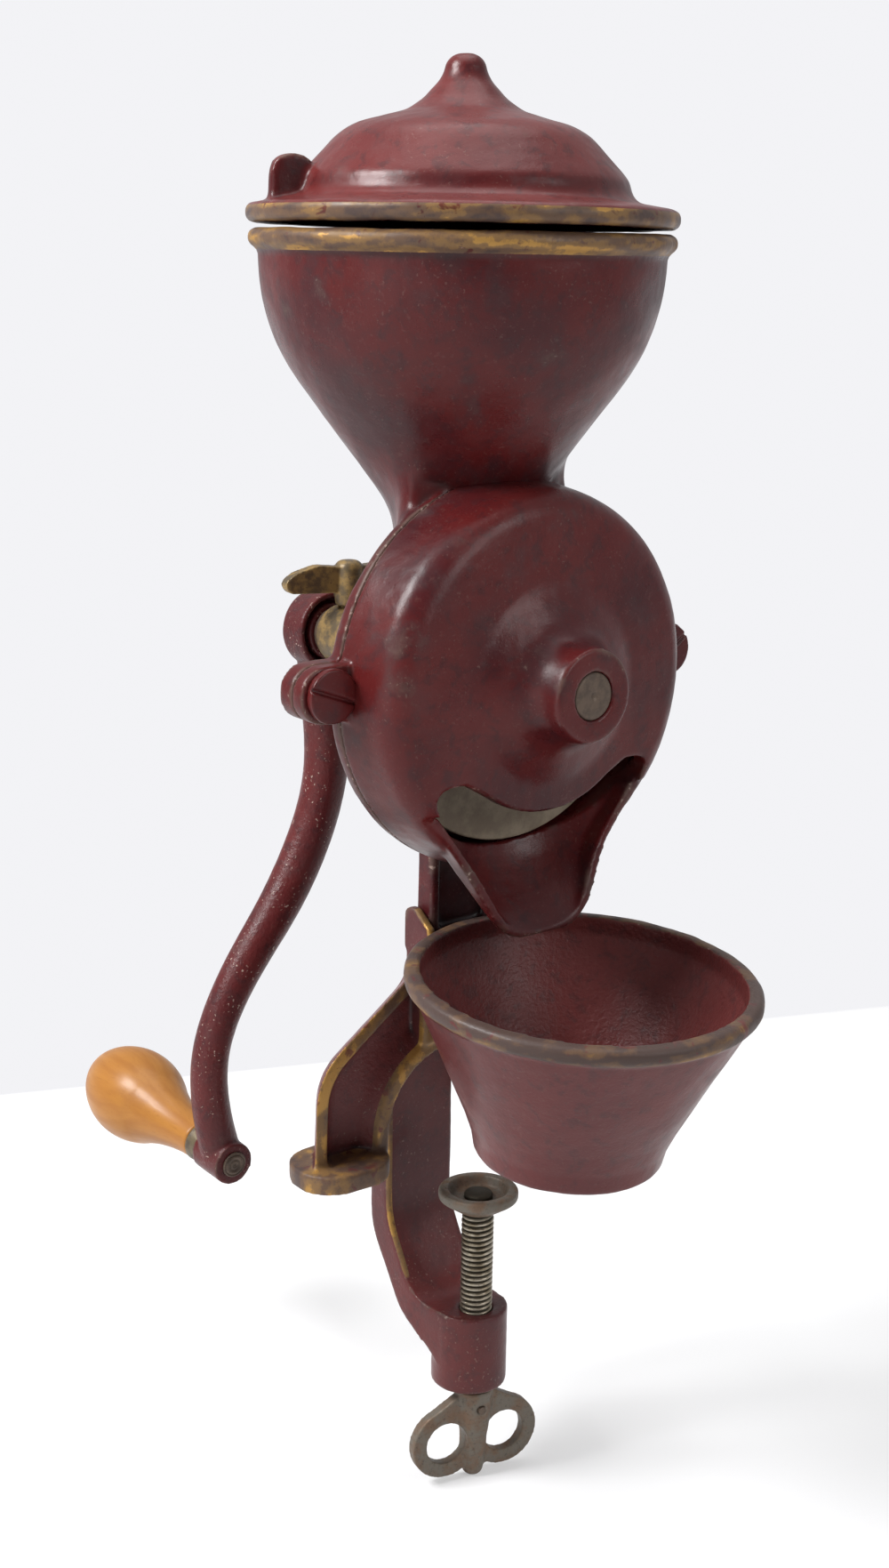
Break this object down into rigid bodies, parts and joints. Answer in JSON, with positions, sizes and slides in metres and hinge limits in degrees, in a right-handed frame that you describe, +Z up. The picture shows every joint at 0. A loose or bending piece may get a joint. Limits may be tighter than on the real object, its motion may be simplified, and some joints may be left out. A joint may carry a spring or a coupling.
{
  "type": "manual coffee grinder",
  "caption": "Hand-cranked cast-iron coffee grinder with hopper, lid, catch cup and table-edge clamp.",
  "frame": {"origin": "on the clamp screw's axis, level with the underside of the feet (the table top)", "axes": "+Z up along the clamp screw, -Y to the front (cup side), +Y to the crank at the back"},
  "size_m": [0.137, 0.2409, 0.4096],
  "materials": {
    "painted_iron": "worn dark red paint with a soft gloss, gold trim worn to brown",
    "gold_paint": "dull gold paint, worn",
    "dark_iron": "bare iron, browned",
    "burr_iron": "bare cast iron, dusty",
    "steel": "dull steel with brown spots",
    "ferrule_metal": "dull pressed metal",
    "varnished_wood": "clear varnish, satin"
  },
  "bodies": {
    "frame": {"clamp_frame": "painted_iron", "stem_screw": "dark_iron", "hopper_body": "painted_iron", "front_cover": "painted_iron", "cover_screws": "painted_iron", "lid_rivet": "dark_iron", "fixed_burr": "burr_iron", "burr_screws": "steel"},
    "lid": {"lid": "painted_iron"},
    "carriage": {"thrust_washer": "painted_iron"},
    "adjuster": {"adjusting_nut": "gold_paint"},
    "wing": {"wing_screw": "gold_paint"},
    "crank": {"spindle": "steel", "feed_worm": "dark_iron", "turning_burr": "burr_iron", "burr_drive_pin": "steel", "crank_arm": "painted_iron", "crank_washer": "steel", "crank_nut": "steel", "handle_stud": "steel"},
    "grip": {"wooden_grip": "varnished_wood", "grip_ferrule": "ferrule_metal"},
    "pad": {"clamp_pad": "dark_iron"},
    "screw": {"clamp_screw": "steel", "clamp_key": "dark_iron", "key_pin": "dark_iron"},
    "cup": {"cup": "painted_iron"}
  },
  "joints": [
    {"name": "lid_swing", "type": "hinge", "parent": "frame", "child": "lid", "pos_m": [0.04384, 0.05944, 0.26074], "axis": [0.0099, 0.0099, 0.9999], "range_deg": [0, 90]},
    {"name": "spindle_shift", "type": "slide", "parent": "frame", "child": "carriage", "axis": [0, 1, 0], "range_m": [-0.000374, 0.000374]},
    {"name": "adjuster_turn", "type": "hinge", "parent": "carriage", "child": "adjuster", "pos_m": [0, 0.0156, 0.1434], "axis": [0, 1, 0], "range_deg": [-90, 90]},
    {"name": "wing_turn", "type": "hinge", "parent": "adjuster", "child": "wing", "pos_m": [0, 0.0661, 0.1434], "axis": [0, 0, 1], "range_deg": [-40, 45]},
    {"name": "crank_spin", "type": "hinge", "parent": "carriage", "child": "crank", "pos_m": [0, 0.0156, 0.1434], "axis": [0, 1, 0], "continuous": true},
    {"name": "grip_spin", "type": "hinge", "parent": "crank", "child": "grip", "pos_m": [-0.0372, 0.0801, -0.0192], "axis": [0, 0.9977, 0.068], "continuous": true},
    {"name": "pad_lift", "type": "slide", "parent": "frame", "child": "pad", "axis": [0, 0, 1], "range_m": [-0.02775, 0.00118]},
    {"name": "screw_turn", "type": "hinge", "parent": "pad", "child": "screw", "pos_m": [0, 0, -0.06], "axis": [0, 0, 1], "range_deg": [-6300, 270]},
    {"name": "cup_lift", "type": "slide", "parent": "frame", "child": "cup", "axis": [0, 0, 1], "range_m": [0, 0.012]}
  ],
  "couplings": [
    {"joint": "adjuster_turn", "follows": "spindle_shift", "rad_per_m": 4188.8},
    {"joint": "screw_turn", "follows": "pad_lift", "rad_per_m": 3957.9}
  ]
}
